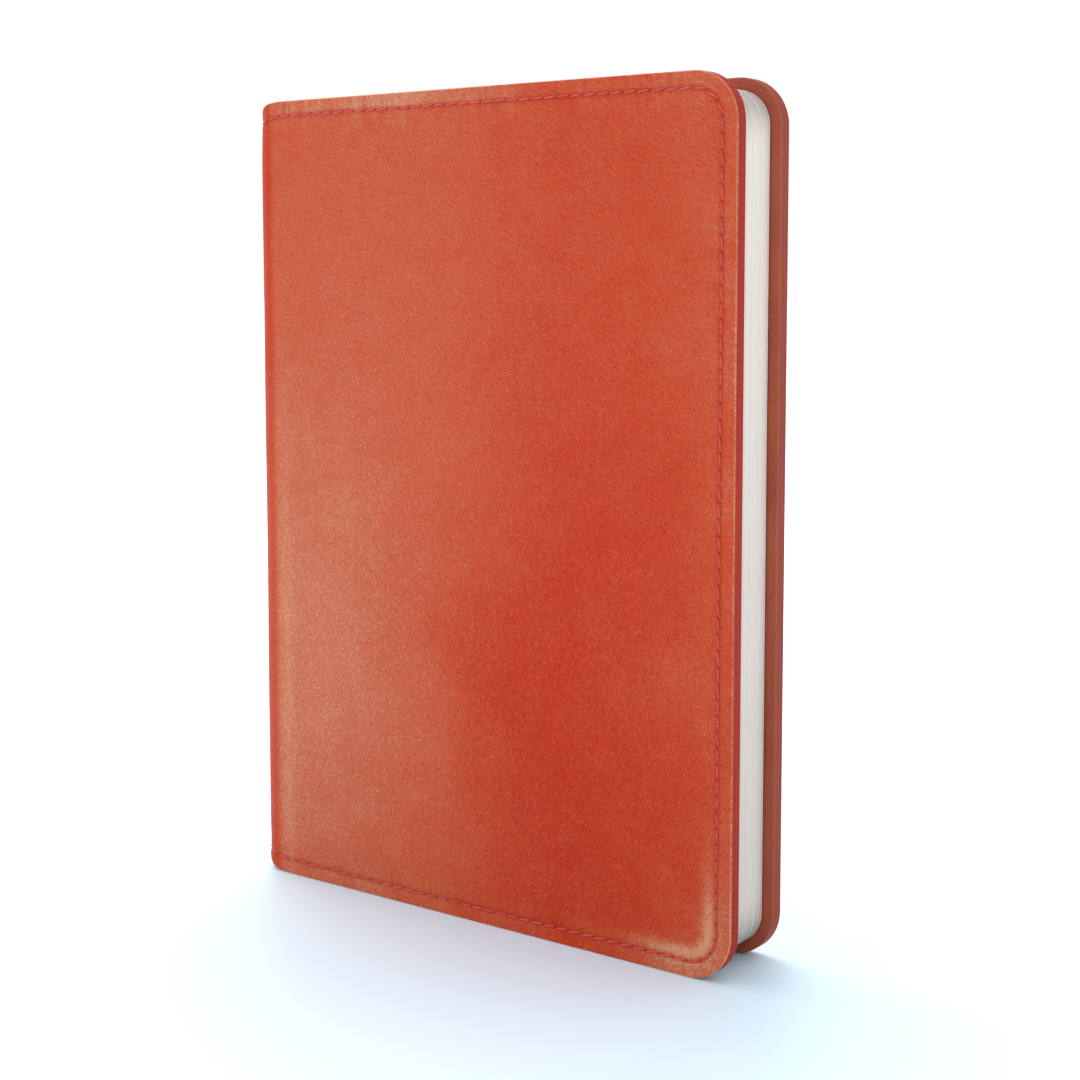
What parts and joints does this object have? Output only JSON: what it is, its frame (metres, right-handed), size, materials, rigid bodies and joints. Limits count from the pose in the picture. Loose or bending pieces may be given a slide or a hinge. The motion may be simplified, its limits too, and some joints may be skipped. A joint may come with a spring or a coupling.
{
  "type": "leather-bound notebook",
  "caption": "Closed A5 notebook in a sewn leather cover with rounded fore-edge corners; both covers and the page signatures open from folds at the spine.",
  "frame": {"origin": "centre of the bounding box's bottom face, with the notebook standing on its tail edge", "axes": "+X from the spine to the fore edge, -Y is the front cover's outward side, +Z from tail to head"},
  "size_m": [0.154, 0.0248, 0.216],
  "materials": {
    "cover_leather": "semi-matte pull-up leather, orange-red with paler tan wear",
    "core_board": "bonded leather board with dark red painted edge",
    "lining_leather": "smooth matte brown lining leather",
    "thread": "waxed twisted red thread",
    "endpaper": "matte endpaper",
    "pages": "matte uncoated paper, trimmed edges",
    "binding_cloth": "open-weave cotton"
  },
  "bodies": {
    "spine": {"spine_leather": "cover_leather", "spine_core": "core_board", "spine_lining": "lining_leather", "spine_tail_stitching": "thread", "spine_head_stitching": "thread", "spine_mull": "binding_cloth", "text_block_back": "pages"},
    "front_cover": {"front_leather": "cover_leather", "front_core": "core_board", "front_lining": "lining_leather", "front_outer_stitching": "thread", "front_inner_stitching": "thread", "front_pastedown": "endpaper"},
    "back_cover": {"back_leather": "cover_leather", "back_core": "core_board", "back_lining": "lining_leather", "back_outer_stitching": "thread", "back_inner_stitching": "thread", "back_pastedown": "endpaper"},
    "leaves_01": {"signature_01": "pages", "front_flyleaf": "endpaper"},
    "leaves_02": {"signature_02": "pages"},
    "leaves_03": {"signature_03": "pages"},
    "leaves_04": {"signature_04": "pages"},
    "leaves_05": {"signature_05": "pages"},
    "leaves_06": {"signature_06": "pages"},
    "leaves_07": {"signature_07": "pages"},
    "leaves_08": {"signature_08": "pages"},
    "leaves_09": {"signature_09": "pages"},
    "leaves_10": {"signature_10": "pages"},
    "leaves_11": {"signature_11": "pages"},
    "leaves_12": {"signature_12": "pages", "back_flyleaf": "endpaper"}
  },
  "joints": [
    {"name": "front_cover_hinge", "type": "hinge", "parent": "spine", "child": "front_cover", "pos_m": [-0.071, -0.0124, 0.108], "axis": [0, 0, -1], "range_deg": [0, 100]},
    {"name": "back_cover_hinge", "type": "hinge", "parent": "spine", "child": "back_cover", "pos_m": [-0.071, 0.0124, 0.108], "axis": [0, 0, 1], "range_deg": [0, 100]},
    {"name": "leaves_01_turn", "type": "hinge", "parent": "spine", "child": "leaves_01", "pos_m": [-0.071, -0.0124, 0.108], "axis": [0, 0, -1], "range_deg": [0, 84.62]},
    {"name": "leaves_02_turn", "type": "hinge", "parent": "spine", "child": "leaves_02", "pos_m": [-0.071, -0.0124, 0.108], "axis": [0, 0, -1], "range_deg": [0, 69.23]},
    {"name": "leaves_03_turn", "type": "hinge", "parent": "spine", "child": "leaves_03", "pos_m": [-0.071, -0.0124, 0.108], "axis": [0, 0, -1], "range_deg": [0, 53.85]},
    {"name": "leaves_04_turn", "type": "hinge", "parent": "spine", "child": "leaves_04", "pos_m": [-0.071, -0.0124, 0.108], "axis": [0, 0, -1], "range_deg": [0, 38.46]},
    {"name": "leaves_05_turn", "type": "hinge", "parent": "spine", "child": "leaves_05", "pos_m": [-0.071, -0.0124, 0.108], "axis": [0, 0, -1], "range_deg": [0, 23.08]},
    {"name": "leaves_06_turn", "type": "hinge", "parent": "spine", "child": "leaves_06", "pos_m": [-0.071, -0.0124, 0.108], "axis": [0, 0, -1], "range_deg": [0, 7.69]},
    {"name": "leaves_07_turn", "type": "hinge", "parent": "spine", "child": "leaves_07", "pos_m": [-0.071, 0.0124, 0.108], "axis": [0, 0, 1], "range_deg": [0, 7.69]},
    {"name": "leaves_08_turn", "type": "hinge", "parent": "spine", "child": "leaves_08", "pos_m": [-0.071, 0.0124, 0.108], "axis": [0, 0, 1], "range_deg": [0, 23.08]},
    {"name": "leaves_09_turn", "type": "hinge", "parent": "spine", "child": "leaves_09", "pos_m": [-0.071, 0.0124, 0.108], "axis": [0, 0, 1], "range_deg": [0, 38.46]},
    {"name": "leaves_10_turn", "type": "hinge", "parent": "spine", "child": "leaves_10", "pos_m": [-0.071, 0.0124, 0.108], "axis": [0, 0, 1], "range_deg": [0, 53.85]},
    {"name": "leaves_11_turn", "type": "hinge", "parent": "spine", "child": "leaves_11", "pos_m": [-0.071, 0.0124, 0.108], "axis": [0, 0, 1], "range_deg": [0, 69.23]},
    {"name": "leaves_12_turn", "type": "hinge", "parent": "spine", "child": "leaves_12", "pos_m": [-0.071, 0.0124, 0.108], "axis": [0, 0, 1], "range_deg": [0, 84.62]}
  ],
  "couplings": [
    {"joint": "leaves_01_turn", "follows": "front_cover_hinge", "ratio": 0.84615},
    {"joint": "leaves_02_turn", "follows": "front_cover_hinge", "ratio": 0.69231},
    {"joint": "leaves_03_turn", "follows": "front_cover_hinge", "ratio": 0.53846},
    {"joint": "leaves_04_turn", "follows": "front_cover_hinge", "ratio": 0.38461},
    {"joint": "leaves_05_turn", "follows": "front_cover_hinge", "ratio": 0.23077},
    {"joint": "leaves_06_turn", "follows": "front_cover_hinge", "ratio": 0.076923},
    {"joint": "leaves_07_turn", "follows": "back_cover_hinge", "ratio": 0.076923},
    {"joint": "leaves_08_turn", "follows": "back_cover_hinge", "ratio": 0.23077},
    {"joint": "leaves_09_turn", "follows": "back_cover_hinge", "ratio": 0.38461},
    {"joint": "leaves_10_turn", "follows": "back_cover_hinge", "ratio": 0.53846},
    {"joint": "leaves_11_turn", "follows": "back_cover_hinge", "ratio": 0.69231},
    {"joint": "leaves_12_turn", "follows": "back_cover_hinge", "ratio": 0.84615}
  ]
}
